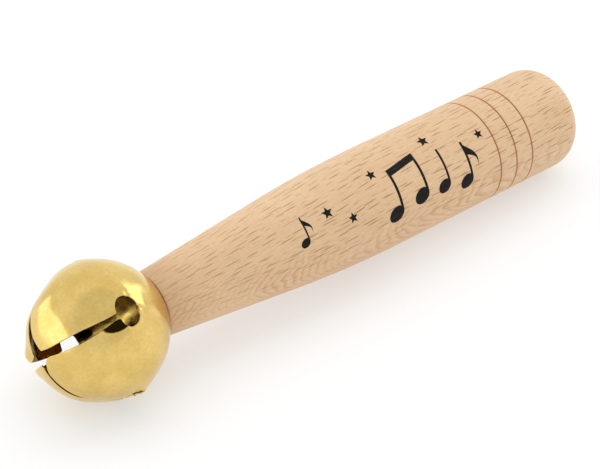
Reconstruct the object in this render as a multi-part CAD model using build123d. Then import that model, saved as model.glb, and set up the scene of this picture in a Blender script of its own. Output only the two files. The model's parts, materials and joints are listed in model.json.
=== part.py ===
"""Sleigh bell stick: one four-petal sheet brass bell screwed to the end of a turned beech handle.

Everything is first modelled about the stick's own axis: the bell's centre is at 0, +X runs along the
handle to its free end, and the top petal is at +Z. The stick is then laid down as it rests on a table,
on the belly of the bell and the far end of the handle, with the origin under the middle of its box.
"""

from build123d import *
import os
from math import asin, atan2, cos, degrees, hypot, pi, sin, sqrt

# Bell: a stamped cup of thin sheet whose four petals are folded over a loose steel ball.
bell_diameter = 35.0
sheet = 0.5
mouth_radius = 2.5
base_flat_radius = 5.5
sound_hole_width = 7.5
sound_hole_length = 6.2
slot_at_hole = 1.0
slot_at_mouth = 3.0
petals = 4
cutter_reach = 1.0
pellet_diameter = 10.0
pellet_clearance = 0.3

# Handle: a long cone that runs into a cylinder, with three turned rings and a rounded end.
handle_diameter = 28.0
handle_end = 156.0
cylinder_start = 92.0
cone_end = 58.0
cone_end_radius = 12.5
rim_outer_radius = 8.55
rim_inner_radius = 8.1
end_rounding = 7.0
rim_top_along = 0.2
rim_top_down = 0.25
pilot_clearance = 1.0
ring_positions = (123.4, 129.3, 135.2)
ring_width = 0.6
ring_depth = 0.35

# Fixing: a round-head wood screw and a washer inside the bell.
washer_diameter = 9.0
washer_hole = 4.3
washer_thickness = 0.8
screw_length = 28.0
screw_core_radius = 1.4
screw_neck_radius = 1.9
thread_radius = 2.0
thread_pitch = 1.8
thread_turns = 12
thread_lead_in = 1.0
screw_point_length = 3.0
head_radius = 3.4
head_height = 2.0
crown_radius = 1.5
shoulder_radius = 3.0
shoulder_depth = 1.5
recess_depth = 1.1
recess_length = 3.4
recess_width = 0.8
sheet_hole_radius = 2.1

bell_radius = bell_diameter / 2
hollow_radius = bell_radius - sheet
handle_radius = handle_diameter / 2
seat_radius = bell_radius + 0.02
base_x = sqrt(bell_radius**2 - base_flat_radius**2)
washer_x = base_x - sheet
head_x = washer_x - washer_thickness
screw_tip_x = head_x + screw_length
pellet_path_radius = hollow_radius - pellet_diameter / 2 - pellet_clearance


def on_circle(radius, height):
    """Distance along the axis at which a circle about the bell's centre reaches that height."""
    return sqrt(radius**2 - height**2)


def arc_about_centre(radius, start, end):
    """Arc about the bell's centre between two (x, height) points that lie on it."""
    first = atan2(start[1], start[0])
    last = atan2(end[1], end[0])
    middle = (first + last) / 2
    return ThreePointArc(start, (radius * cos(middle), radius * sin(middle)), end)


def turned(edges):
    """The solid that a closed outline in the upper half plane sweeps about the stick's axis."""
    return revolve(make_face(edges), Axis.X, 360)


def polyline_edges(points):
    """Straight edges through the points, as a list."""
    return [Line(a, b) for a, b in zip(points, points[1:])]


def ring_outline():
    """Points of the cylinder's outline from its start to the rounded end, dipping into each ring."""
    points = [(cylinder_start, handle_radius)]
    for x in ring_positions:
        points.append((x - ring_width / 2, handle_radius))
        points.append((x, handle_radius - ring_depth))
        points.append((x + ring_width / 2, handle_radius))
    points.append((handle_end - end_rounding, handle_radius))
    return points


def make_handle():
    """Turned handle: dished seat for the bell, cone, long arc, cylinder with rings, rounded end."""
    pilot_end = screw_tip_x + pilot_clearance
    seat_flat = (base_x, sqrt(seat_radius**2 - base_x**2))
    seat_rim = (on_circle(seat_radius, rim_inner_radius), rim_inner_radius)
    rim_round = rim_outer_radius - rim_inner_radius
    cone_start = (seat_rim[0] + rim_round, rim_outer_radius)
    rim_top = (seat_rim[0] + rim_top_along * rim_round, rim_outer_radius - rim_top_down * rim_round)
    arc_drop = handle_radius - cone_end_radius
    arc_run = cylinder_start - cone_end
    belly_radius = (arc_run**2 + arc_drop**2) / (2 * arc_drop)
    half_turn = asin(arc_run / belly_radius) / 2
    belly_middle = (
        cylinder_start - belly_radius * sin(half_turn),
        handle_radius - belly_radius * (1 - cos(half_turn)),
    )
    end_centre = (handle_end - end_rounding, handle_radius - end_rounding)
    end_middle = (
        end_centre[0] + end_rounding * cos(pi / 4),
        end_centre[1] + end_rounding * sin(pi / 4),
    )
    edges = polyline_edges(
        [(pilot_end, 0), (pilot_end, screw_core_radius), (base_x, screw_core_radius), seat_flat]
    )
    edges.append(arc_about_centre(seat_radius, seat_flat, seat_rim))
    edges.append(ThreePointArc(seat_rim, rim_top, cone_start))
    edges.append(Line(cone_start, (cone_end, cone_end_radius)))
    edges.append(ThreePointArc((cone_end, cone_end_radius), belly_middle, (cylinder_start, handle_radius)))
    edges += polyline_edges(ring_outline())
    edges.append(ThreePointArc(ring_outline()[-1], end_middle, (handle_end, end_centre[1])))
    edges += polyline_edges([(handle_end, end_centre[1]), (handle_end, 0), (pilot_end, 0)])
    return turned(edges)


def slot_cutter():
    """Wedge that parts two petals from the sound hole to the mouth, upright over the axis."""
    outline = Polyline(
        (0, -slot_at_hole / 2),
        (-bell_radius - cutter_reach, -slot_at_mouth / 2),
        (-bell_radius - cutter_reach, slot_at_mouth / 2),
        (0, slot_at_hole / 2),
        close=True,
    )
    return extrude(make_face(outline), bell_radius + cutter_reach)


def sound_hole_cutter():
    """Oval bar that pierces the bell's wall over its centre, where a slot ends."""
    oval = Ellipse(sound_hole_length / 2, sound_hole_width / 2)
    return Pos(0, 0, bell_radius / 2) * extrude(oval, bell_radius)


def make_bell_shell():
    """Bell in one piece: a round cup with a flat, pierced base, slotted into petals from its mouth."""
    outer_front = (-on_circle(bell_radius, mouth_radius), mouth_radius)
    inner_front = (-on_circle(hollow_radius, mouth_radius), mouth_radius)
    outer_base = (base_x, base_flat_radius)
    inner_base = (washer_x, on_circle(hollow_radius, washer_x))
    edges = [
        arc_about_centre(bell_radius, outer_front, outer_base),
        *polyline_edges(
            [outer_base, (base_x, sheet_hole_radius), (washer_x, sheet_hole_radius), inner_base]
        ),
        arc_about_centre(hollow_radius, inner_base, inner_front),
        Line(inner_front, outer_front),
    ]
    shell = turned(edges)
    for petal in range(petals):
        turn = Rot(45 + 360 / petals * petal, 0, 0)
        shell = shell - turn * slot_cutter() - turn * sound_hole_cutter()
    return shell


def make_washer():
    """Flat washer that spreads the screw's pull over the thin base of the bell."""
    return turned(
        polyline_edges(
            [
                (head_x, washer_hole / 2),
                (head_x, washer_diameter / 2),
                (washer_x, washer_diameter / 2),
                (washer_x, washer_hole / 2),
                (head_x, washer_hole / 2),
            ]
        )
    )


def make_screw():
    """Round-head wood screw, its thread stood for by rings that bite into the handle."""
    thread_start = base_x + thread_lead_in
    crown_x = head_x - head_height
    crown = (crown_x, crown_radius)
    shoulder = (head_x - shoulder_depth, shoulder_radius)
    points = [(head_x, head_radius), (head_x, screw_neck_radius), (base_x, screw_neck_radius)]
    points.append((base_x, screw_core_radius))
    for turn in range(thread_turns):
        x = thread_start + turn * thread_pitch
        points.append((x, screw_core_radius))
        points.append((x + thread_pitch / 4, thread_radius))
        points.append((x + thread_pitch / 2, screw_core_radius))
    points.append((screw_tip_x - screw_point_length, screw_core_radius))
    points.append((screw_tip_x, 0))
    points.append((crown_x, 0))
    points.append(crown)
    edges = polyline_edges(points)
    edges.append(ThreePointArc(crown, shoulder, (head_x, head_radius)))
    screw = turned(edges)
    recess = Pos(crown_x, 0, 0) * Box(2 * recess_depth, recess_length, recess_width)
    return screw - recess - Rot(90, 0, 0) * recess


def make_pellet():
    """Loose steel ball, at rest on the lowest petal."""
    return Pos(0, 0, -pellet_path_radius) * Sphere(pellet_diameter / 2)


def lying_down(shapes):
    """Location that lays the stick on z = 0, on the bell's belly and the handle's rounded end."""
    reach = handle_end - end_rounding
    lift = handle_radius - end_rounding
    dip = asin((bell_radius - end_rounding) / hypot(reach, lift)) - atan2(lift, reach)
    tipped = Pos(0, 0, bell_radius) * Rot(0, degrees(dip), 0)
    box = Compound(children=[tipped * shape for shape in shapes]).bounding_box()
    return Pos(-box.center().X, 0, 0) * tipped


parts = {
    "handle": make_handle(),
    "bell_shell": make_bell_shell(),
    "screw_washer": make_washer(),
    "bell_screw": make_screw(),
    "pellet": make_pellet(),
}
place = lying_down([parts["handle"], parts["bell_shell"]])
os.makedirs("parts", exist_ok=True)
for name, shape in parts.items():
    export_step(place * shape, f"parts/{name}.step")
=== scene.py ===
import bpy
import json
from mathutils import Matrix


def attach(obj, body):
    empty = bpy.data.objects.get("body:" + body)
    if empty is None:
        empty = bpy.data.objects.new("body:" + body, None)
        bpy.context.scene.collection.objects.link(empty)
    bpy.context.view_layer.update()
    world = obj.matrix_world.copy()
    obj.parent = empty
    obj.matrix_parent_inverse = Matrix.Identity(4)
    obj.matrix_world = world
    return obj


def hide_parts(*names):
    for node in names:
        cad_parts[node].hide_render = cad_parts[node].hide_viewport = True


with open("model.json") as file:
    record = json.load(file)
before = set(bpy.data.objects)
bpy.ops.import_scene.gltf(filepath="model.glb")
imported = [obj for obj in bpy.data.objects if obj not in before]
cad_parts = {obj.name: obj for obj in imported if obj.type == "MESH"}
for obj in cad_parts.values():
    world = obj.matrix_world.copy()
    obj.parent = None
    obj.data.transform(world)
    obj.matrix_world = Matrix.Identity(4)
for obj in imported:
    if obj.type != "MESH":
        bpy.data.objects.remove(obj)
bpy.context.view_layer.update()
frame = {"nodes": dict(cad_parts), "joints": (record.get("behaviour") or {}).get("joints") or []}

import json
from math import asin, cos, degrees, pi, radians, sin, sqrt

import bmesh
import bpy
import numpy as np
from mathutils import Matrix, Vector
from mathutils.geometry import delaunay_2d_cdt

# Shapes are worked out in millimetres about the stick's own axis, as the part is designed: the bell's
# centre is at 0, +X runs to the handle's free end, +Y is the far side and +Z the top petal. A place on the
# bell is a polar angle from the middle of its mouth and a roll about the axis, in degrees: 0 at the near
# side, 90 at the top. The print on the handle is placed by the same roll.
MM = 0.001
hinge = frame["joints"][0]
BELL_CENTRE = Vector(hinge["pos_m"])
STICK_AXIS = Vector(hinge["axis"]).normalized()
DIP = asin(-STICK_AXIS.z)
STICK_TO_ROW = Matrix.Translation(BELL_CENTRE) @ Matrix.Rotation(DIP, 4, "Y") @ Matrix.Scale(MM, 4)

# Bell
BELL_RADIUS = 17.5
SHEET = 0.5
EDGE_ROUNDING = 0.1
BASE_FLAT_RADIUS = 5.5
SCREW_HOLE_RADIUS = 2.1

# Sound holes: polar angle of their middles and half length in degrees, half width in millimetres, the
# rounding where a hole runs into its slot, and where that neck ends, in half lengths
HOLE_POLAR = 91.0
HOLE_HALF_LENGTH = 8.8
HOLE_HALF_WIDTH = 3.95
NECK_FILLET = 0.85
NECK_END = 1.6

# The lip round each hole: the hole's mean radius and the lip's width, and how strongly it stands out and is
# crimped, in the order of the seams
HOLE_MEAN_RADIUS = 3.4
LIP_WIDTH = 0.8
LIP_HEIGHTS = (0.28, 0.04, 0.05, 0.38)

# Petal tips: how far they narrow, and how blunt they are
TIP_TAPER = 0.99
TIP_BLUNTNESS = 3.2

# Rows and columns of the bell's meshes, before they are subdivided
HOLE_ROWS, NECK_ROWS, SLOT_ROWS, TIP_ROWS = 17, 22, 40, 10
CUP_ROWS, FLAT_ROWS = 34, 6
PETAL_COLUMNS = 45
WELD_DISTANCE = 0.004

# Handle
HANDLE_RADIUS = 14.0
HANDLE_END = 156.0
CYLINDER_START = 92.0
CONE_END = 58.0
CONE_END_RADIUS = 12.5
RIM_RADIUS = 8.55
RIM_ROUNDING = 0.45
SEAT_RADIUS = 17.56
SCREW_BORE_RADIUS = 2.0
END_ROUNDING = 7.0
RINGS = (123.4, 129.3, 135.2)
RING_HALF_WIDTH = 0.22
RING_DEPTH = 0.24
HANDLE_SIDES = 224

# Print: roll of its middle line, how far the film stands out of the wood and reaches into it, the longest
# side of an outline, and the spacing and shift of the points inside
PRINT_ROLL = 40.0
PRINT_LIFT = 0.02
PRINT_SIDE = 0.4
PRINT_SPACING = 0.6
PRINT_SHIFT = (0.013, 0.017)

# Camera: where it looks from in degrees, its lens, and where it sees the bell's centre, in millimetres
CAMERA_AZIMUTH = -41.16
CAMERA_ELEVATION = 36.0
CAMERA_LENS = 150.0
SENSOR_WIDTH = 36.0
BELL_RIGHT = -48.75
BELL_UP = -23.32
BELL_AHEAD = 603.45


# ---------------------------------------------------------------- mesh helpers

def new_piece(name, points, faces, material, body):
    """A smooth mesh piece from points in the stick's millimetres, riding on a body."""
    mesh = bpy.data.meshes.new(name)
    mesh.from_pydata([STICK_TO_ROW @ Vector(p) for p in points], [], faces)
    mesh.validate()
    mesh.shade_smooth()
    piece = bpy.data.objects.new(name, mesh)
    bpy.context.scene.collection.objects.link(piece)
    mesh.materials.append(material)
    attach(piece, body)
    return piece


def grid_faces(rows, columns, closed):
    """Quads of a grid of points stored row by row; closed joins the last column to the first."""
    faces = []
    for i in range(rows - 1):
        for j in range(columns if closed else columns - 1):
            k = (j + 1) % columns
            here, ahead = i * columns, (i + 1) * columns
            faces.append((here + j, here + k, ahead + k, ahead + j))
    return faces


def bake_modifiers(piece):
    """Turns a piece's modifiers into its mesh."""
    evaluated = piece.evaluated_get(bpy.context.evaluated_depsgraph_get())
    mesh = bpy.data.meshes.new_from_object(evaluated)
    piece.modifiers.clear()
    piece.data = mesh


def arc(centre, radius, start, end, steps):
    """Points of an arc in the profile's plane, its angles in degrees."""
    angles = np.radians(np.linspace(start, end, steps))
    return [(centre[0] + radius * cos(a), centre[1] + radius * sin(a)) for a in angles]


def lathe(name, profile, around, material, body):
    """A piece turned about the stick's axis from (x, radius) points."""
    points = []
    for x, radius in profile:
        for k in range(around):
            angle = 2 * pi * k / around
            points.append((x, radius * cos(angle), radius * sin(angle)))
    return new_piece(name, points, grid_faces(len(profile), around, True), material, body)


# ---------------------------------------------------------------- bell

def three_point(polar, at_hole, at_middle, at_mouth):
    """Smooth value along a petal's edge from its values at 76, 45 and 15 degrees of polar angle."""
    t = np.clip(polar, 8, 80)
    a, b, c = 76.0, 45.0, 15.0
    return (
        at_hole * (t - b) * (t - c) / ((a - b) * (a - c))
        + at_middle * (t - a) * (t - c) / ((b - a) * (b - c))
        + at_mouth * (t - a) * (t - b) / ((c - a) * (c - b))
    )


# Rolls of the seams, along which the slots run. Each petal has a seam on its right and on its left, three
# distances in millimetres that its edge keeps from each (near the hole, half way, at the mouth), and a tip:
# polar angle, roll, and the polar angle where it starts to round.
SEAMS = (47.5, 141, 225, -45)
PETALS = {
    "top": dict(seams=(47.5, 141), right=(0.55, 0.9, 1.1), left=(0.4, 0.5, 0.9), tip=(9.5, 82, 24)),
    "front": dict(seams=(-45, 47.5), right=(0.5, 0.1, 0.2), left=(1.15, 1.9, 0.8), tip=(8.4, 4, 17)),
    "back": dict(seams=(141, 225), right=(0.5, 0.6, 2.2), left=(-0.3, 0.2, 0.6), tip=(9.8, 196, 18)),
    "bottom": dict(seams=(-135, -45), right=(0.8, 1.6, 1.7), left=(0.6, 1.4, 0.9), tip=(6.1, -78, 12)),
}

# Unevenness left by the press and by folding the petals: polar angle, roll, how far it spreads in each, and
# height in millimetres. Swells fade away softly. Dents are bowls with a definite edge. The first swells lie
# on every seam, and their roll is measured from it.
SEAM_SWELLS = [(102, 0, 10, 17, 0.6), (63, 0, 15, 14, -0.45)]
SWELLS = {
    "top": [(62, 141, 16, 16, -0.5)],
    "front": [(80, 47, 10, 4, 0.5), (40, 0, 20, 20, 0.1)],
    "back": [(58, 146, 16, 18, -1.2), (25, 209, 9, 16, 1.0), (46, 175, 10, 14, -0.4)],
    "bottom": [(27, -119, 8, 14, 0.45), (62, -54, 14, 12, -0.5)],
}
DENTS = {
    "top": [(71, 58, 22, 24, -1.3), (27, 78, 19, 42, -0.3)],
    "front": [(74, 37, 16, 9, -0.55)],
}
# A petal's own swells and dents fade out over this many degrees, up to the back of the sound holes
FADE_AT_HOLES = 8
# The painted dark reflection beside the near sound hole: polar angle, roll, half sizes and turn, in degrees
PAINTED_REFLECTION_OVAL = (77, 40.5, 11.3, 5.2, 7)


def angle_between(a, b):
    """Smallest signed turn from b to a, in degrees."""
    return (a - b + 180) % 360 - 180


def unevenness(polar, roll, petal):
    """How far the sheet stands out from a true sphere, in millimetres."""
    height = np.zeros_like(polar)
    for p, r, spread_p, spread_r, amount in SEAM_SWELLS:
        for seam in SEAMS:
            turn = angle_between(roll, seam + r)
            height += amount * np.exp(-(((polar - p) / spread_p) ** 2) - (turn / spread_r) ** 2)
    own = np.clip((HOLE_POLAR + HOLE_HALF_LENGTH - polar) / FADE_AT_HOLES, 0, 1)
    for p, r, spread_p, spread_r, amount in SWELLS[petal]:
        turn = angle_between(roll, r)
        height += own * amount * np.exp(-(((polar - p) / spread_p) ** 2) - (turn / spread_r) ** 2)
    for p, r, half_p, half_r, amount in DENTS.get(petal, ()):
        reach = ((polar - p) / half_p) ** 2 + (angle_between(roll, r) / half_r) ** 2
        height += own * amount * np.clip(1 - reach, 0, 1) ** 2
    return height + hole_lips(polar, roll)


def hole_lips(polar, roll):
    """The burred lip of each sound hole, highest at its back and fading out along its sides, crimped by two
    waves that run round it."""
    height = np.zeros_like(polar)
    for index, (seam, strength) in enumerate(zip(SEAMS, LIP_HEIGHTS)):
        along = (polar - HOLE_POLAR) / HOLE_HALF_LENGTH
        across = np.radians(angle_between(roll, seam)) * BELL_RADIUS / HOLE_HALF_WIDTH
        out = (np.hypot(along, across) - 1) * HOLE_MEAN_RADIUS
        turn = np.arctan2(across, along)
        back = 0.5 + 0.5 * np.cos(turn)
        crimp = np.sin(11 * turn + index) * 0.55 + np.sin(17 * turn + 2.1 * index + 1) * 0.45
        height += strength * back**0.7 * np.exp(-((out / LIP_WIDTH) ** 2)) * (1 + crimp)
    return height


def opening(polar, gap):
    """How far a petal's edge keeps from its seam: the slot, which flares into the round sound hole. Behind
    the hole's middle only the hole counts."""
    u = (polar - HOLE_POLAR) / HOLE_HALF_LENGTH
    hole = HOLE_HALF_WIDTH * np.sign(1 - u * u) * np.sqrt(np.abs(1 - u * u))
    slot = three_point(polar, *gap)
    flared = (hole + slot + np.sqrt((hole - slot) ** 2 + 4 * NECK_FILLET**2)) / 2
    forward = np.clip(-3 * u, 0, 1)
    return np.maximum(hole, 0) * (1 - forward) + flared * forward


def petal_rows(tip):
    """Polar angles of a petal's rows, from the back of the sound holes to its tip, closer together where
    its edge turns."""
    tip_polar, _, rounding = tip
    hole = HOLE_POLAR + HOLE_HALF_LENGTH * np.cos(np.linspace(0, 0.75 * pi, HOLE_ROWS))
    neck = np.linspace(hole[-1], HOLE_POLAR - NECK_END * HOLE_HALF_LENGTH, NECK_ROWS)[1:]
    slot = np.linspace(neck[-1], rounding, SLOT_ROWS)[1:]
    end = rounding - (rounding - tip_polar) * np.sin(np.linspace(0, pi / 2, TIP_ROWS))[1:]
    return np.concatenate([hole, neck, slot, end])


def bell_points(polar, roll, height):
    """Points at those polar angles and rolls, on the bell's sphere plus height."""
    p, r = np.radians(polar), np.radians(roll)
    radius = BELL_RADIUS + height
    off_axis = radius * np.sin(p)
    return np.stack([-radius * np.cos(p), -off_axis * np.cos(r), off_axis * np.sin(r)], -1)


def petal_grid(name):
    """Grid of points over one petal. Its columns follow the edges near them, and crowd less towards the
    middle the wider the opening is."""
    petal = PETALS[name]
    tip_polar, tip_roll, rounding = petal["tip"]
    rows = petal_rows(petal["tip"])[:, None]
    across = np.linspace(0, 1, PETAL_COLUMNS)[None, :]
    first, last = petal["seams"]
    around = BELL_RADIUS * np.sin(np.radians(rows))
    right = np.degrees(opening(rows, petal["right"]) / around)
    left = np.degrees(opening(rows, petal["left"]) / around)
    widest = np.maximum(np.maximum(right, left), 0.01)
    power = np.clip(0.4 * (last - first) / widest, 1, 3)
    roll = first + (last - first) * across + right * (1 - across) ** power - left * across**power
    u = np.clip((rounding - rows) / (rounding - tip_polar), 0, 1)
    roll = tip_roll + (roll - tip_roll) * np.sqrt(1 - (TIP_TAPER * u) ** TIP_BLUNTNESS)
    polar = np.broadcast_to(rows, roll.shape)
    return bell_points(polar, roll, unevenness(polar, roll, name))


def cup_grid(name):
    """Grid of points over the cup behind one petal, from the sound holes to the screw hole."""
    first, last = PETALS[name]["seams"]
    flat_polar = 180 - degrees(asin(BASE_FLAT_RADIUS / BELL_RADIUS))
    rows = np.linspace(HOLE_POLAR + HOLE_HALF_LENGTH, flat_polar, CUP_ROWS)[:, None]
    roll = np.linspace(first, last, PETAL_COLUMNS)[None, :] + 0 * rows
    polar = rows + 0 * roll
    cup = bell_points(polar, roll, unevenness(polar, roll, name))
    shrink = np.linspace(1, SCREW_HOLE_RADIUS / BASE_FLAT_RADIUS, FLAT_ROWS)[1:]
    flat = [cup[-1] * np.array([1, s, s]) for s in shrink]
    return np.concatenate([cup, np.stack(flat)])


def thicken(piece, thickness, rounding):
    """Gives an open sheet its thickness inwards, with rounded edges, and its second material inside."""
    sheet = bmesh.new()
    sheet.from_mesh(piece.data)
    sheet.normal_update()
    outer = list(sheet.verts)
    inward = {v: -thickness * v.normal for v in outer}
    inner = {v: sheet.verts.new(v.co + inward[v]) for v in outer}
    edges = [e for e in sheet.edges if e.is_boundary]
    beyond = {v: Vector() for e in edges for v in e.verts}
    for e in edges:
        along = e.verts[1].co - e.verts[0].co
        normal = (e.verts[0].normal + e.verts[1].normal).normalized()
        away = along.cross(normal).normalized()
        if away.dot(e.link_faces[0].calc_center_median() - e.verts[0].co) > 0:
            away = -away
        for v in e.verts:
            beyond[v] += away
    # The rounded edge: depth through the sheet, and how far out, as shares of thickness and rounding
    profile = [(0.12, 0.6), (0.3, 1.0), (0.7, 1.0), (0.88, 0.6)]
    strips = {}
    for v, away in beyond.items():
        away = away.normalized() * rounding
        middle = [sheet.verts.new(v.co + inward[v] * depth + away * out) for depth, out in profile]
        strips[v] = [v, *middle, inner[v]]
    for face in list(sheet.faces):
        sheet.faces.new([inner[v] for v in reversed(face.verts)]).material_index = 1
    for e in edges:
        a, b = e.verts
        if e.link_loops[0].vert is not a:
            a, b = b, a
        for k in range(len(profile) + 1):
            sheet.faces.new([strips[b][k], strips[a][k], strips[a][k + 1], strips[b][k + 1]])
    sheet.to_mesh(piece.data)
    sheet.free()
    piece.data.shade_smooth()


def make_bell(material, inside):
    """The stamped bell: four petals on a round cup, with the sheet's thickness inside."""
    points, faces = [], []
    for name in PETALS:
        for grid, outward in ((petal_grid(name), True), (cup_grid(name), False)):
            start = len(points)
            points += [tuple(p) for p in grid.reshape(-1, 3)]
            for face in grid_faces(grid.shape[0], PETAL_COLUMNS, False):
                face = [start + corner for corner in face]
                faces.append(face if outward else face[::-1])
    piece = new_piece("bell_petals", points, faces, material, "bell_stick")
    weld = piece.modifiers.new("weld", "WELD")
    weld.merge_threshold = WELD_DISTANCE * MM
    smooth = piece.modifiers.new("smooth", "SUBSURF")
    smooth.levels = smooth.render_levels = 1
    bake_modifiers(piece)
    piece.data.materials.append(inside)
    thicken(piece, SHEET * MM, EDGE_ROUNDING * MM)
    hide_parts("bell_shell")
    return piece


# ---------------------------------------------------------------- handle

def handle_profile():
    """(x, radius) points of the handle from the screw's hole, over the seat and along to the free end."""
    seat_radii = np.linspace(SCREW_BORE_RADIUS, RIM_RADIUS - 0.5, 12)
    seat = [(sqrt(SEAT_RADIUS**2 - r * r), r) for r in seat_radii]
    rim_centre = (seat[-1][0] + 0.42, RIM_RADIUS - RIM_ROUNDING)
    rim = arc(rim_centre, RIM_ROUNDING, 170, 95, 7)
    cone = []
    for x in np.linspace(rim[-1][0] + 0.3, CONE_END, 24):
        rise = (CONE_END_RADIUS - RIM_RADIUS) * (x - rim[-1][0])
        cone.append((x, RIM_RADIUS + rise / (CONE_END - rim[-1][0])))
    drop, run = HANDLE_RADIUS - CONE_END_RADIUS, CYLINDER_START - CONE_END
    belly = (run**2 + drop**2) / (2 * drop)
    turn = degrees(asin(run / belly))
    long_arc = arc((CYLINDER_START, HANDLE_RADIUS - belly), belly, 90 + turn, 90, 30)[1:]
    straight = []
    start = CYLINDER_START
    for ring in RINGS:
        stop = ring - 3 * RING_HALF_WIDTH
        straight += [(x, HANDLE_RADIUS) for x in np.linspace(start, stop, 12)[1:]]
        for u in np.linspace(-1, 1, 13):
            soft = 0.5 + 0.5 * cos(pi * u)
            straight.append((ring + 1.5 * u * RING_HALF_WIDTH, HANDLE_RADIUS - RING_DEPTH * soft**1.5))
        start = ring + 3 * RING_HALF_WIDTH
    corner = HANDLE_END - END_ROUNDING
    straight += [(x, HANDLE_RADIUS) for x in np.linspace(start, corner, 8)[:-1]]
    end = arc((corner, HANDLE_RADIUS - END_ROUNDING), END_ROUNDING, 90, 0, 24)
    face = [(HANDLE_END, r) for r in np.linspace(HANDLE_RADIUS - END_ROUNDING, 0.02, 12)[1:]]
    return seat + rim + cone + long_arc + straight + end + face


def make_handle(material):
    """The turned handle."""
    piece = lathe("turned_handle", handle_profile(), HANDLE_SIDES, material, "bell_stick")
    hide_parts("handle")
    return piece


# ---------------------------------------------------------------- printed notes

def oval(x, y, half_x, half_y, turn, count=28):
    """Outline of an oval turned by some degrees."""
    c, s = cos(radians(turn)), sin(radians(turn))
    angles = [2 * pi * k / count for k in range(count)]
    ring = [(half_x * cos(angle), half_y * sin(angle)) for angle in angles]
    return [(x + c * u - s * v, y + s * u + c * v) for u, v in ring]


def bar(x0, y0, x1, y1, width):
    """Outline of an upright or level bar, slanted if its ends differ."""
    half = width / 2
    if abs(x1 - x0) > abs(y1 - y0):
        return [(x0, y0 - half), (x1, y1 - half), (x1, y1 + half), (x0, y0 + half)]
    return [(x0 - half, y0), (x0 + half, y0), (x1 + half, y1), (x1 - half, y1)]


def bend(a, b, c, d, count=12):
    """Points of a smooth curve from a to d, drawn towards b and c on its way."""
    t = np.linspace(0, 1, count)[:, None]
    a, b, c, d = (np.array(p) for p in (a, b, c, d))
    curve = (1 - t) ** 3 * a + 3 * t * (1 - t) ** 2 * b + 3 * t**2 * (1 - t) * c + t**3 * d
    return [tuple(p) for p in curve]


# A note's proportions, in units of its size and from the middle of its head: half sizes of the head and its
# lean in degrees, the stem, and the two curves that bound the flag, which start on the stem. In a pair, how
# far on the second note is, where its stem is, and the beam: half a stem, its two ends' heights, its width
HEAD_HALF_LENGTH, HEAD_HALF_HEIGHT, HEAD_LEAN = 1.2, 0.86, 24
STEM_RIGHT, STEM_LOW, STEM_TOP, STEM_WIDTH = 0.98, 0.2, 5.2, 0.36
PAIR_RIGHT, PAIR_UP, PAIR_STEM_RIGHT = 4.2, 0.7, 5.18
BEAM_PAST_STEM, BEAM_LEFT_UP, BEAM_RIGHT_UP, BEAM_WIDTH = 0.17, 4.85, 5.55, 0.9
FLAG_OUTSIDE = ((0, STEM_TOP), (0.1, 4.0), (2.4, 3.5), (1.35, 1.3))
FLAG_INSIDE = ((1.35, 1.3), (1.8, 2.9), (0.7, 2.9), (0, 3.4))


def note(x, y, size, flag=False):
    """Outlines of one note whose head is at (x, y): head, stem and, for an eighth note, its flag."""
    stem_x = x + STEM_RIGHT * size
    head = oval(x, y, HEAD_HALF_LENGTH * size, HEAD_HALF_HEIGHT * size, HEAD_LEAN)
    stem = bar(stem_x, y + STEM_LOW * size, stem_x, y + STEM_TOP * size, STEM_WIDTH * size)
    outlines = [head, stem]
    if flag:
        sweep = bend(*FLAG_OUTSIDE) + bend(*FLAG_INSIDE)[1:]
        outlines.append([(stem_x + u * size, y + v * size) for u, v in sweep])
    return outlines


def beamed_pair(x, y, size):
    """Two notes joined by a slanted beam, which ends about flush with their stems."""
    outlines = note(x, y, size) + note(x + PAIR_RIGHT * size, y + PAIR_UP * size, size)
    left, right = x + STEM_RIGHT * size, x + PAIR_STEM_RIGHT * size
    past = BEAM_PAST_STEM * size
    low, high = y + BEAM_LEFT_UP * size, y + BEAM_RIGHT_UP * size
    return outlines + [bar(left - past, low, right + past, high, BEAM_WIDTH * size)]


def star(x, y, size):
    """Outline of a plain five-pointed star."""
    outline = []
    for k in range(10):
        reach = size if k % 2 == 0 else 0.45 * size
        angle = pi / 2 + pi * k / 5
        outline.append((x + reach * cos(angle), y + reach * sin(angle)))
    return outline


def densified(outline, step):
    """The closed outline with extra points so that no side is longer than the step."""
    points = []
    for (x0, y0), (x1, y1) in zip(outline, outline[1:] + outline[:1]):
        count = max(1, int(np.ceil(np.hypot(x1 - x0, y1 - y0) / step)))
        points += [(x0 + (x1 - x0) * k / count, y0 + (y1 - y0) * k / count) for k in range(count)]
    return points


def print_outlines():
    """Outlines of the printed shapes, each placed by its distance along the handle from the bell's centre,
    its distance round it from the print's middle line, and its size."""
    outlines = beamed_pair(86.0, -6.2, 2.2) + note(103.2, -5.0, 1.9)
    outlines += note(111.0, -6.6, 2.0, flag=True)
    outlines += [star(103.6, 8.6, 1.8), star(119.6, 3.6, 1.5), star(83.4, 6.2, 1.6)]
    outlines += note(57.2, -2.4, 1.25, flag=True)
    outlines += [star(66.2, 2.2, 1.7), star(72.6, -1.8, 1.5)]
    return outlines


def triangulated(outlines):
    """Points and small triangles that fill the outlines. The points inside lie on a grid, moved a little so
    that none falls on an outline."""
    points, faces = [], []
    for outline in outlines:
        outline = densified(outline, PRINT_SIDE)
        faces.append(list(range(len(points), len(points) + len(outline))))
        points += outline
    low, high = np.min(points, axis=0), np.max(points, axis=0)
    columns = np.arange(low[0], high[0], PRINT_SPACING) + PRINT_SHIFT[0]
    rows = np.arange(low[1], high[1], PRINT_SPACING) + PRINT_SHIFT[1]
    grid_x, grid_y = np.meshgrid(columns, rows)
    points += list(zip(grid_x.ravel(), grid_y.ravel()))
    flat, _, triangles, *_ = delaunay_2d_cdt([Vector(p) for p in points], [], faces, 1, 1e-4)
    return flat, triangles


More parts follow.
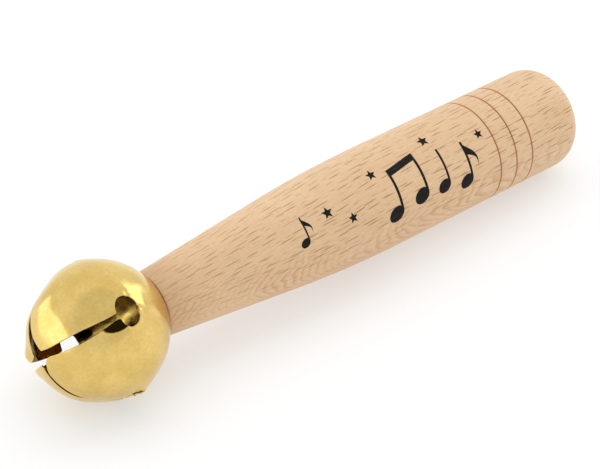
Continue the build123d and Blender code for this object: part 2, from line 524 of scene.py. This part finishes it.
def make_print(material):
    """Plain music notes and stars printed on the handle: a thin film of ink that follows the wood."""
    flat, triangles = triangulated(print_outlines())
    profile = np.array([p for p in handle_profile() if p[1] > RIM_RADIUS and p[0] < HANDLE_END])
    used = sorted({v for face in triangles for v in face})
    place = {v: k for k, v in enumerate(used)}
    solid = []
    for lift in (PRINT_LIFT, -PRINT_LIFT):
        for v in used:
            x, y = flat[v]
            wood = np.interp(x, profile[:, 0], profile[:, 1])
            roll = radians(PRINT_ROLL) + y / wood
            radius = wood + lift
            solid.append((x, -radius * cos(roll), radius * sin(roll)))
    top = [tuple(place[v] for v in face) for face in triangles]
    count = len(used)
    sides = {(face[k], face[(k + 1) % 3]) for face in top for k in range(3)}
    walls = [(b, a, a + count, b + count) for a, b in sides if (b, a) not in sides]
    bottom = [tuple(v + count for v in reversed(face)) for face in top]
    piece = new_piece("printed_notes", solid, top + bottom + walls, material, "bell_stick")
    piece.data.shade_flat()
    return piece


# ---------------------------------------------------------------- materials

def rgb(r, g, b):
    """A linear colour with full alpha."""
    return (r, g, b, 1.0)


BRASS_SHADE, BRASS_LIGHT = rgb(0.70, 0.495, 0.15), rgb(0.80, 0.585, 0.205)
INSIDE_SHADE, INSIDE_LIGHT = rgb(0.74, 0.50, 0.11), rgb(0.84, 0.61, 0.17)
BRASS_MOTTLE = rgb(0.60, 0.37, 0.09)
BRASS_SPECK = rgb(0.38, 0.22, 0.06)
# Painted dark reflection: near black, in the hollow beside the near sound hole
BRASS_PAINTED_REFLECTION = rgb(0.016, 0.009, 0.001)
# Painted shade inside the petals, darkest towards the mouth
BRASS_PAINTED_SHADE_INSIDE = rgb(0.19, 0.095, 0.013)
BEECH_LIGHT, BEECH_WARM = rgb(0.72, 0.495, 0.285), rgb(0.66, 0.43, 0.24)
BEECH_FIBRE = rgb(0.52, 0.32, 0.17)
BEECH_PALE = rgb(0.82, 0.62, 0.40)
BEECH_LATE_WOOD = rgb(0.50, 0.215, 0.085)
BEECH_FLECK = rgb(0.31, 0.135, 0.055)
# Painted shade on the wood beside the bell
BEECH_PAINTED_SHADE_BY_BELL = rgb(0.42, 0.235, 0.10)
BEECH_BURNT = rgb(0.38, 0.125, 0.035)
INK_DARK, INK_THIN = rgb(0.006, 0.005, 0.004), rgb(0.040, 0.030, 0.022)
STEEL = rgb(0.60, 0.60, 0.61)
FLOOR_DARK, FLOOR_LIGHT = rgb(0.49, 0.49, 0.49), rgb(0.51, 0.51, 0.51)
WHITE = rgb(1, 1, 1)

# Direction in which the wood's flecks are strongest, and the one across which its yearly rings lie, with
# their tilt along the handle and their spacing in millimetres
FLECKED_SIDE_Y, FLECKED_SIDE_Z = -0.42, 0.91
YEARS_Y, YEARS_Z, YEARS_TILT = 0.996, 0.087, -0.14
YEAR_SPACING = 0.56
# How far from a burnt ring's middle its colour starts to fade and is gone
BURN_FADE = (0.08, 0.40)


class Shader:
    """Small helper that adds and joins nodes of one material. An input given as a number or a colour is set
    on the socket itself."""

    def __init__(self, name):
        self.material = bpy.data.materials.new(name)
        self.material.use_nodes = True
        self.tree = self.material.node_tree
        self.surface = self.tree.nodes["Principled BSDF"]

    def node(self, kind, settings=None, **inputs):
        """A new node. Its inputs go by name, or as i0, i1 and so on by number."""
        made = self.tree.nodes.new("ShaderNode" + kind)
        for key, value in (settings or {}).items():
            setattr(made, key, value)
        for key, value in inputs.items():
            self.join(value, made.inputs[int(key[1:]) if key[1:].isdigit() else key.replace("_", " ")])
        return made

    def join(self, value, socket):
        if isinstance(value, bpy.types.NodeSocket):
            self.tree.links.new(value, socket)
        else:
            socket.default_value = value

    def stick_millimetres(self):
        """Texture coordinates in the stick's own millimetres."""
        where = self.node("TexCoord").outputs["Object"]
        mapping = self.node("Mapping", {"vector_type": "TEXTURE"}, Vector=where)
        mapping.inputs["Location"].default_value = BELL_CENTRE
        mapping.inputs["Rotation"].default_value = (0, DIP, 0)
        mapping.inputs["Scale"].default_value = (MM, MM, MM)
        return mapping.outputs[0]

    def stretched(self, vector, scale, move=(0, 0, 0)):
        """The coordinates times a scale for each axis, and then moved."""
        mapping = self.node("Mapping", {"vector_type": "POINT"}, Vector=vector)
        mapping.inputs["Location"].default_value = move
        mapping.inputs["Scale"].default_value = scale
        return mapping.outputs[0]

    def noise(self, vector, scale, detail, roughness):
        made = self.node("TexNoise", Vector=vector, Scale=scale, Detail=detail, Roughness=roughness)
        return made.outputs["Fac"]

    def steps(self, value, low, high, to_low=0.0, to_high=1.0):
        """A smooth step from one number at low to another at high."""
        made = self.node("MapRange", {"interpolation_type": "SMOOTHSTEP"}, Value=value)
        ends = {"From Min": low, "From Max": high, "To Min": to_low, "To Max": to_high}
        for key, number in ends.items():
            made.inputs[key].default_value = number
        return made.outputs[0]

    def math(self, operation, a, b=0.0, c=0.0):
        made = self.node("Math", {"operation": operation})
        for socket, value in zip(made.inputs, (a, b, c)):
            self.join(value, socket)
        return made.outputs[0]

    def mix(self, factor, a, b):
        """Colour a, or b where the factor is 1."""
        made = self.node("Mix", {"data_type": "RGBA"})
        for key, value in (("Factor_Float", factor), ("A_Color", a), ("B_Color", b)):
            self.join(value, next(s for s in made.inputs if s.identifier == key))
        return next(s for s in made.outputs if s.identifier == "Result_Color")

    def bump(self, height, strength, distance, normal=None):
        made = self.node("Bump", Height=height, Strength=strength, Distance=distance)
        if normal is not None:
            self.join(normal, made.inputs["Normal"])
        return made.outputs[0]

    def finish(self, colour, roughness, normal, **constants):
        """The finished material, with further sockets of its surface set to constants."""
        self.join(colour, self.surface.inputs["Base Color"])
        self.join(roughness, self.surface.inputs["Roughness"])
        self.join(normal, self.surface.inputs["Normal"])
        for key, value in constants.items():
            self.surface.inputs[key.replace("_", " ")].default_value = value
        return self.material


def brass_material(name, shade, light, low_rough, high_rough, painted_shade_inside=0.0):
    """Sheet brass, with soft press marks, faint handling haze, a few dark specks and a painted dark
    reflection.
    Inside the bell the petals are painted darker than the cup towards the mouth, as shade: the last
    argument says by how much."""
    s = Shader(name)
    at = s.stick_millimetres()
    cloud = s.noise(at, 0.16, 3, 0.5)
    haze = s.noise(s.stretched(at, (1, 1, 1), move=(7, 3, 1)), 0.45, 4, 0.6)
    mottle = s.noise(s.stretched(at, (1, 1, 1), move=(2, 9, 4)), 1.3, 3, 0.6)
    specks = s.steps(s.noise(at, 2.6, 2, 0.5), 0.68, 0.76)
    colour = s.mix(s.steps(cloud, 0.3, 0.7), shade, light)
    colour = s.mix(s.steps(mottle, 0.35, 0.75, 0, 0.3), colour, BRASS_MOTTLE)
    colour = s.mix(s.math("MULTIPLY", specks, 0.4), colour, BRASS_SPECK)
    # Painted dark reflection: a near black oval in the hollow beside the near sound hole
    colour = s.mix(painted_reflection_mask(s, at, *PAINTED_REFLECTION_OVAL), colour, BRASS_PAINTED_REFLECTION)
    # Painted shade: the inside of the petals is painted darker towards the mouth
    if painted_shade_inside:
        along = s.node("SeparateXYZ", Vector=at).outputs["X"]
        colour = s.mix(s.steps(along, 6, -3, 0, painted_shade_inside), colour, BRASS_PAINTED_SHADE_INSIDE)
    rough = s.steps(haze, 0.35, 0.75, low_rough, high_rough)
    fine = s.bump(s.noise(at, 3.2, 3, 0.6), 0.16, 0.02 * MM)
    wave = s.bump(s.noise(at, 0.4, 2, 0.5), 0.12, 0.08 * MM, fine)
    return s.finish(colour, rough, wave, Metallic=1.0)


def painted_reflection_mask(s, at, polar, roll, half_polar, half_roll, turn):
    """1 in an oval about that polar angle and roll, with an edge that wavers a little. It marks where a dark
    reflection is painted.
    """
    p, r, t = radians(polar), radians(roll), radians(turn)
    centre = Vector((-cos(p), -sin(p) * cos(r), sin(p) * sin(r))) * BELL_RADIUS
    back = Vector((sin(p), -cos(p) * cos(r), cos(p) * sin(r)))
    up = Vector((0, sin(r), cos(r)))
    along = (back * cos(t) - up * sin(t)) / (BELL_RADIUS * radians(half_polar))
    across = (up * cos(t) + back * sin(t)) / (BELL_RADIUS * sin(p) * radians(half_roll))
    away = s.node("VectorMath", {"operation": "SUBTRACT"}, i0=at, i1=centre).outputs[0]
    squares = []
    for direction in (along, across):
        part = s.node("VectorMath", {"operation": "DOT_PRODUCT"}, i0=away, i1=direction).outputs["Value"]
        squares.append(s.math("MULTIPLY", part, part))
    reach = s.math("ADD", *squares)
    wobble = s.math("MULTIPLY_ADD", s.noise(at, 0.9, 2, 0.5), 0.3, -0.15)
    return s.steps(s.math("ADD", reach, wobble), 1.12, 0.7)


def flecks(s, along, around, spacing, size, seed, keep):
    """Slender dark streaks along the grain, one in each cell of a Voronoi pattern: their mean spacing and
    half sizes in millimetres, and about what share of them is kept."""
    u = s.math("MULTIPLY_ADD", along, 1 / spacing[0], seed)
    v = s.math("MULTIPLY_ADD", around, 1 / spacing[1], seed)
    cells = s.node("CombineXYZ", X=u, Y=v).outputs[0]
    rays = s.node("TexVoronoi", {"feature": "F1", "voronoi_dimensions": "2D"}, Vector=cells, Scale=1.0)
    middle = s.node("SeparateXYZ", Vector=rays.outputs["Position"])
    chance = s.node("SeparateColor", Color=rays.outputs["Color"])
    stretch = s.math("MULTIPLY_ADD", chance.outputs["Green"], 0.9, 0.75)
    squares = []
    for index, (place, axis) in enumerate(((u, "X"), (v, "Y"))):
        offset = s.math("SUBTRACT", place, middle.outputs[axis])
        away = s.math("MULTIPLY", offset, spacing[index] / size[index])
        squares.append(s.math("MULTIPLY", away, away))
    squares[0] = s.math("MULTIPLY", squares[0], stretch)
    dark = s.steps(s.math("ADD", *squares), 1.2, 0.1)
    kept = s.steps(chance.outputs["Red"], keep, keep - 0.4)
    return s.math("MULTIPLY", dark, kept)


def beech_material():
    """Steamed beech, sanded and clear coated. Its rays show as slender flecks that lean a little from the
    handle's length, strongest towards its top. Beside the bell the wood is painted darker, as shade. The
    growth rings arch along its near side, and the three turned rings are burnt."""
    s = Shader("beech")
    at = s.stick_millimetres()
    place = s.node("SeparateXYZ", Vector=at)
    along, y, z = (place.outputs[axis] for axis in "XYZ")
    roll = s.math("ARCTAN2", z, s.math("MULTIPLY", y, -1.0))
    around = s.math("MULTIPLY_ADD", roll, HANDLE_RADIUS, s.math("MULTIPLY", along, -0.05))
    sway = s.noise(s.stretched(at, (0.02, 0.05, 0.05), move=(4, 4, 1)), 1.0, 2, 0.5)
    around = s.math("MULTIPLY_ADD", sway, 2.5, around)
    height_up = s.math("MULTIPLY_ADD", y, FLECKED_SIDE_Y, s.math("MULTIPLY", z, FLECKED_SIDE_Z))
    upper = s.math("DIVIDE", height_up, HANDLE_RADIUS)

    tone = s.noise(s.stretched(at, (0.012, 0.07, 0.07), move=(3, 1, 8)), 1.0, 4, 0.55)
    fibre = s.noise(s.stretched(at, (0.16, 3.0, 3.0)), 1.0, 4, 0.65)
    speckle = s.noise(s.stretched(at, (1.2, 3.5, 3.5)), 1.0, 2, 0.6)
    colour = s.mix(s.steps(tone, 0.3, 0.7), BEECH_LIGHT, BEECH_WARM)
    colour = s.mix(s.steps(fibre, 0.35, 0.7, 0, 0.32), colour, BEECH_FIBRE)
    colour = s.mix(s.steps(speckle, 0.4, 0.75, 0, 0.28), colour, BEECH_PALE)
    colour = s.mix(growth_rings(s, at, upper), colour, BEECH_LATE_WOOD)

    long_rays = flecks(s, along, around, spacing=(7.0, 2.1), size=(2.9, 0.16), seed=2.0, keep=1.15)
    short_rays = flecks(s, along, around, spacing=(4.4, 1.4), size=(1.4, 0.12), seed=9.0, keep=0.8)
    rays = s.math("MAXIMUM", long_rays, s.math("MULTIPLY", short_rays, 0.65))
    shown = s.steps(upper, -0.1, 0.55, 0.2, 1)
    off_end_face = s.steps(along, HANDLE_END - 3, HANDLE_END - 0.8, 1, 0)
    fleck = s.math("MULTIPLY", rays, s.math("MULTIPLY", shown, off_end_face))
    colour = s.mix(s.math("MULTIPLY", fleck, 0.85), colour, BEECH_FLECK)
    # Painted shade: the wood is darkened beside the bell
    colour = s.mix(s.steps(along, 28, 14, 0, 0.42), colour, BEECH_PAINTED_SHADE_BY_BELL)
    colour = s.mix(s.math("MULTIPLY", ring_mask(s, at), 0.9), colour, BEECH_BURNT)

    height = s.math("SUBTRACT", s.math("MULTIPLY", fibre, 0.6), s.math("MULTIPLY", fleck, 0.5))
    rough = s.steps(fibre, 0.3, 0.7, 0.42, 0.54)
    normal = s.bump(height, 0.25, 0.05 * MM)
    coat = dict(Coat_Weight=0.12, Coat_Roughness=0.3, Specular_IOR_Level=0.4)
    return s.finish(colour, rough, normal, **coat)


def growth_rings(s, at, upper):
    """How strongly the late wood of the tree's yearly rings shows, wandering a little, and least on top. The
    rings lie flat to the handle's near side, so they arch there as its thickness changes."""
    sway = s.noise(s.stretched(at, (0.03, 0.10, 0.10), move=(5, 2, 6)), 1.0, 3, 0.55)
    place = s.node("SeparateXYZ", Vector=at)
    depth = s.math("MULTIPLY", place.outputs["Z"], YEARS_Z)
    depth = s.math("MULTIPLY_ADD", place.outputs["Y"], YEARS_Y, depth)
    depth = s.math("MULTIPLY_ADD", place.outputs["X"], YEARS_TILT, depth)
    depth = s.math("MULTIPLY_ADD", sway, 3.5, depth)
    wave = s.math("FRACT", s.math("DIVIDE", depth, YEAR_SPACING))
    line = s.math("MULTIPLY", s.steps(wave, 0.35, 0.85), s.steps(wave, 1.0, 0.88))
    patches = s.noise(s.stretched(at, (0.05, 0.12, 0.12), move=(1, 7, 3)), 1.0, 2, 0.5)
    off_top = s.steps(upper, 0.75, 0.3, 0.08, 0.5)
    shown = s.math("MULTIPLY", off_top, s.steps(patches, 0.35, 0.6, 0.25, 1))
    return s.math("MULTIPLY", line, shown)


def ring_mask(s, at):
    """1 in the burnt rings, fading out beside them."""
    along = s.node("SeparateXYZ", Vector=at).outputs["X"]
    mask = None
    for ring in RINGS:
        away = s.math("ABSOLUTE", s.math("SUBTRACT", along, ring))
        one = s.steps(away, *BURN_FADE, 1, 0)
        mask = one if mask is None else s.math("MAXIMUM", mask, one)
    return mask


def steel_material(name, colour, roughness):
    """Plain steel with a fine drawn grain."""
    s = Shader(name)
    at = s.stick_millimetres()
    grain = s.noise(s.stretched(at, (1, 4, 4)), 2.0, 3, 0.6)
    tint = s.mix(grain, colour, rgb(*(0.8 * c for c in colour[:3])))
    rough = s.steps(grain, 0.3, 0.7, roughness, roughness + 0.12)
    return s.finish(tint, rough, s.bump(grain, 0.15, 0.02 * MM), Metallic=1.0)


def ink_material():
    """Matt black ink, a little thin where the wood's grain shows through."""
    s = Shader("ink")
    at = s.stick_millimetres()
    grain = s.noise(s.stretched(at, (0.5, 3.5, 3.5)), 1.0, 3, 0.6)
    colour = s.mix(s.steps(grain, 0.5, 0.8), INK_DARK, INK_THIN)
    rough = s.steps(grain, 0.3, 0.7, 0.45, 0.6)
    return s.finish(colour, rough, s.bump(grain, 0.2, 0.02 * MM), Specular_IOR_Level=0.12)


def floor_material():
    """Plain pale floor, which gives off a little light of its own as a photographer's light table does."""
    s = Shader("floor")
    tone = s.noise(s.node("TexCoord").outputs["Object"], 3.0, 2, 0.5)
    tint = s.mix(tone, FLOOR_DARK, FLOOR_LIGHT)
    lit = dict(Emission_Color=WHITE, Emission_Strength=0.45)
    return s.finish(tint, 0.6, (0, 0, 0), Specular_IOR_Level=0.2, **lit)


# ---------------------------------------------------------------- stage

FLOOR_HALF_SIZE = 6.0
WORLD_STRENGTH = 1.02
# The side of the studio that is a little darker, above where a photographer would stand, and how bright the
# studio is from some way off that side to its middle
DIM_SIDE = (-0.40, -0.46, 0.79)
DIMMING = ((0.80, 1.0), (0.99, 0.84))
# Soft lights: place, what they face, width and height in metres, power, and whether they show in gloss
LIGHTS = {
    "left_glow": ((-1.12, 0.68, 0.16), (-0.07, 0, 0.02), (2.33, 0.75), 4.0, True),
    "right_glow": ((1.0, 0.02, 0.55), (-0.07, 0, 0.02), (0.6, 0.7), 1.5, True),
    "overhead_fill": ((0.1, 0.45, 1.3), (0, 0, 0.02), (1.6, 1.2), 4.0, False),
}


def make_camera():
    """The camera, placed from where the bell's centre lies in its view."""
    azimuth, elevation = radians(CAMERA_AZIMUTH), radians(CAMERA_ELEVATION)
    back = Vector((sin(azimuth) * cos(elevation), -cos(azimuth) * cos(elevation), sin(elevation)))
    turn = (-back).to_track_quat("-Z", "Y")
    data = bpy.data.cameras.new("camera")
    data.lens = CAMERA_LENS
    data.sensor_width = SENSOR_WIDTH
    data.clip_start, data.clip_end = 0.05, 20
    camera = bpy.data.objects.new("camera", data)
    bell_from_camera = turn @ Vector((BELL_RIGHT, BELL_UP, -BELL_AHEAD)) * MM
    camera.location = BELL_CENTRE - bell_from_camera
    camera.rotation_mode = "QUATERNION"
    camera.rotation_quaternion = turn
    bpy.context.scene.collection.objects.link(camera)
    bpy.context.scene.camera = camera


def area_light(name, place, target, size, power, glossy):
    """A soft rectangular light at a place, facing its target."""
    data = bpy.data.lights.new(name, "AREA")
    data.shape = "RECTANGLE"
    data.size, data.size_y = size
    data.energy = power
    light = bpy.data.objects.new(name, data)
    light.location = place
    light.rotation_mode = "QUATERNION"
    light.rotation_quaternion = (Vector(target) - Vector(place)).to_track_quat("-Z", "Y")
    light.visible_glossy = glossy
    bpy.context.scene.collection.objects.link(light)


def make_floor():
    """The floor, which is part of the stage and not of the object."""
    mesh = bpy.data.meshes.new("floor")
    h = FLOOR_HALF_SIZE
    mesh.from_pydata([(-h, -h, 0), (h, -h, 0), (h, h, 0), (-h, h, 0)], [], [(0, 1, 2, 3)])
    mesh.materials.append(floor_material())
    floor = bpy.data.objects.new("floor", mesh)
    bpy.context.scene.collection.objects.link(floor)


def make_world():
    """White surroundings, a little darker on the dim side."""
    world = bpy.data.worlds.new("studio")
    world.use_nodes = True
    tree = world.node_tree
    background = tree.nodes["Background"]
    background.inputs["Strength"].default_value = WORLD_STRENGTH
    toward = tree.nodes.new("ShaderNodeVectorMath")
    toward.operation = "DOT_PRODUCT"
    toward.inputs[1].default_value = DIM_SIDE
    half = tree.nodes.new("ShaderNodeMath")
    half.operation = "MULTIPLY_ADD"
    half.inputs[1].default_value = half.inputs[2].default_value = 0.5
    ramp = tree.nodes.new("ShaderNodeValToRGB")
    ramp.color_ramp.interpolation = "EASE"
    for position, level in DIMMING:
        ramp.color_ramp.elements.new(position).color = rgb(level, level, level)
    ramp.color_ramp.elements.remove(ramp.color_ramp.elements[0])
    ramp.color_ramp.elements.remove(ramp.color_ramp.elements[-1])
    direction = tree.nodes.new("ShaderNodeTexCoord").outputs["Generated"]
    tree.links.new(direction, toward.inputs[0])
    tree.links.new(toward.outputs["Value"], half.inputs[0])
    tree.links.new(half.outputs[0], ramp.inputs["Fac"])
    tree.links.new(ramp.outputs["Color"], background.inputs["Color"])
    bpy.context.scene.world = world


def make_stage():
    """Plain pale floor, white surroundings and large soft lights."""
    make_floor()
    make_world()
    for name, settings in LIGHTS.items():
        area_light(name, *settings)
    bpy.context.scene.view_settings.view_transform = "Standard"


# ---------------------------------------------------------------- scene

make_camera()
make_stage()
brass = brass_material("brass", BRASS_SHADE, BRASS_LIGHT, 0.13, 0.22)
inner_brass_with_painted_shade = brass_material("inner_brass_with_painted_shade", INSIDE_SHADE, INSIDE_LIGHT, 0.12, 0.24, painted_shade_inside=0.9)
ball = steel_material("ball_steel", STEEL, 0.16)
make_bell(brass, inner_brass_with_painted_shade)
make_handle(beech_material())
make_print(ink_material())
for node, material in (("bell_screw", inner_brass_with_painted_shade), ("screw_washer", inner_brass_with_painted_shade), ("pellet", ball)):
    cad = frame["nodes"][node]
    cad.data.materials.clear()
    cad.data.materials.append(material)
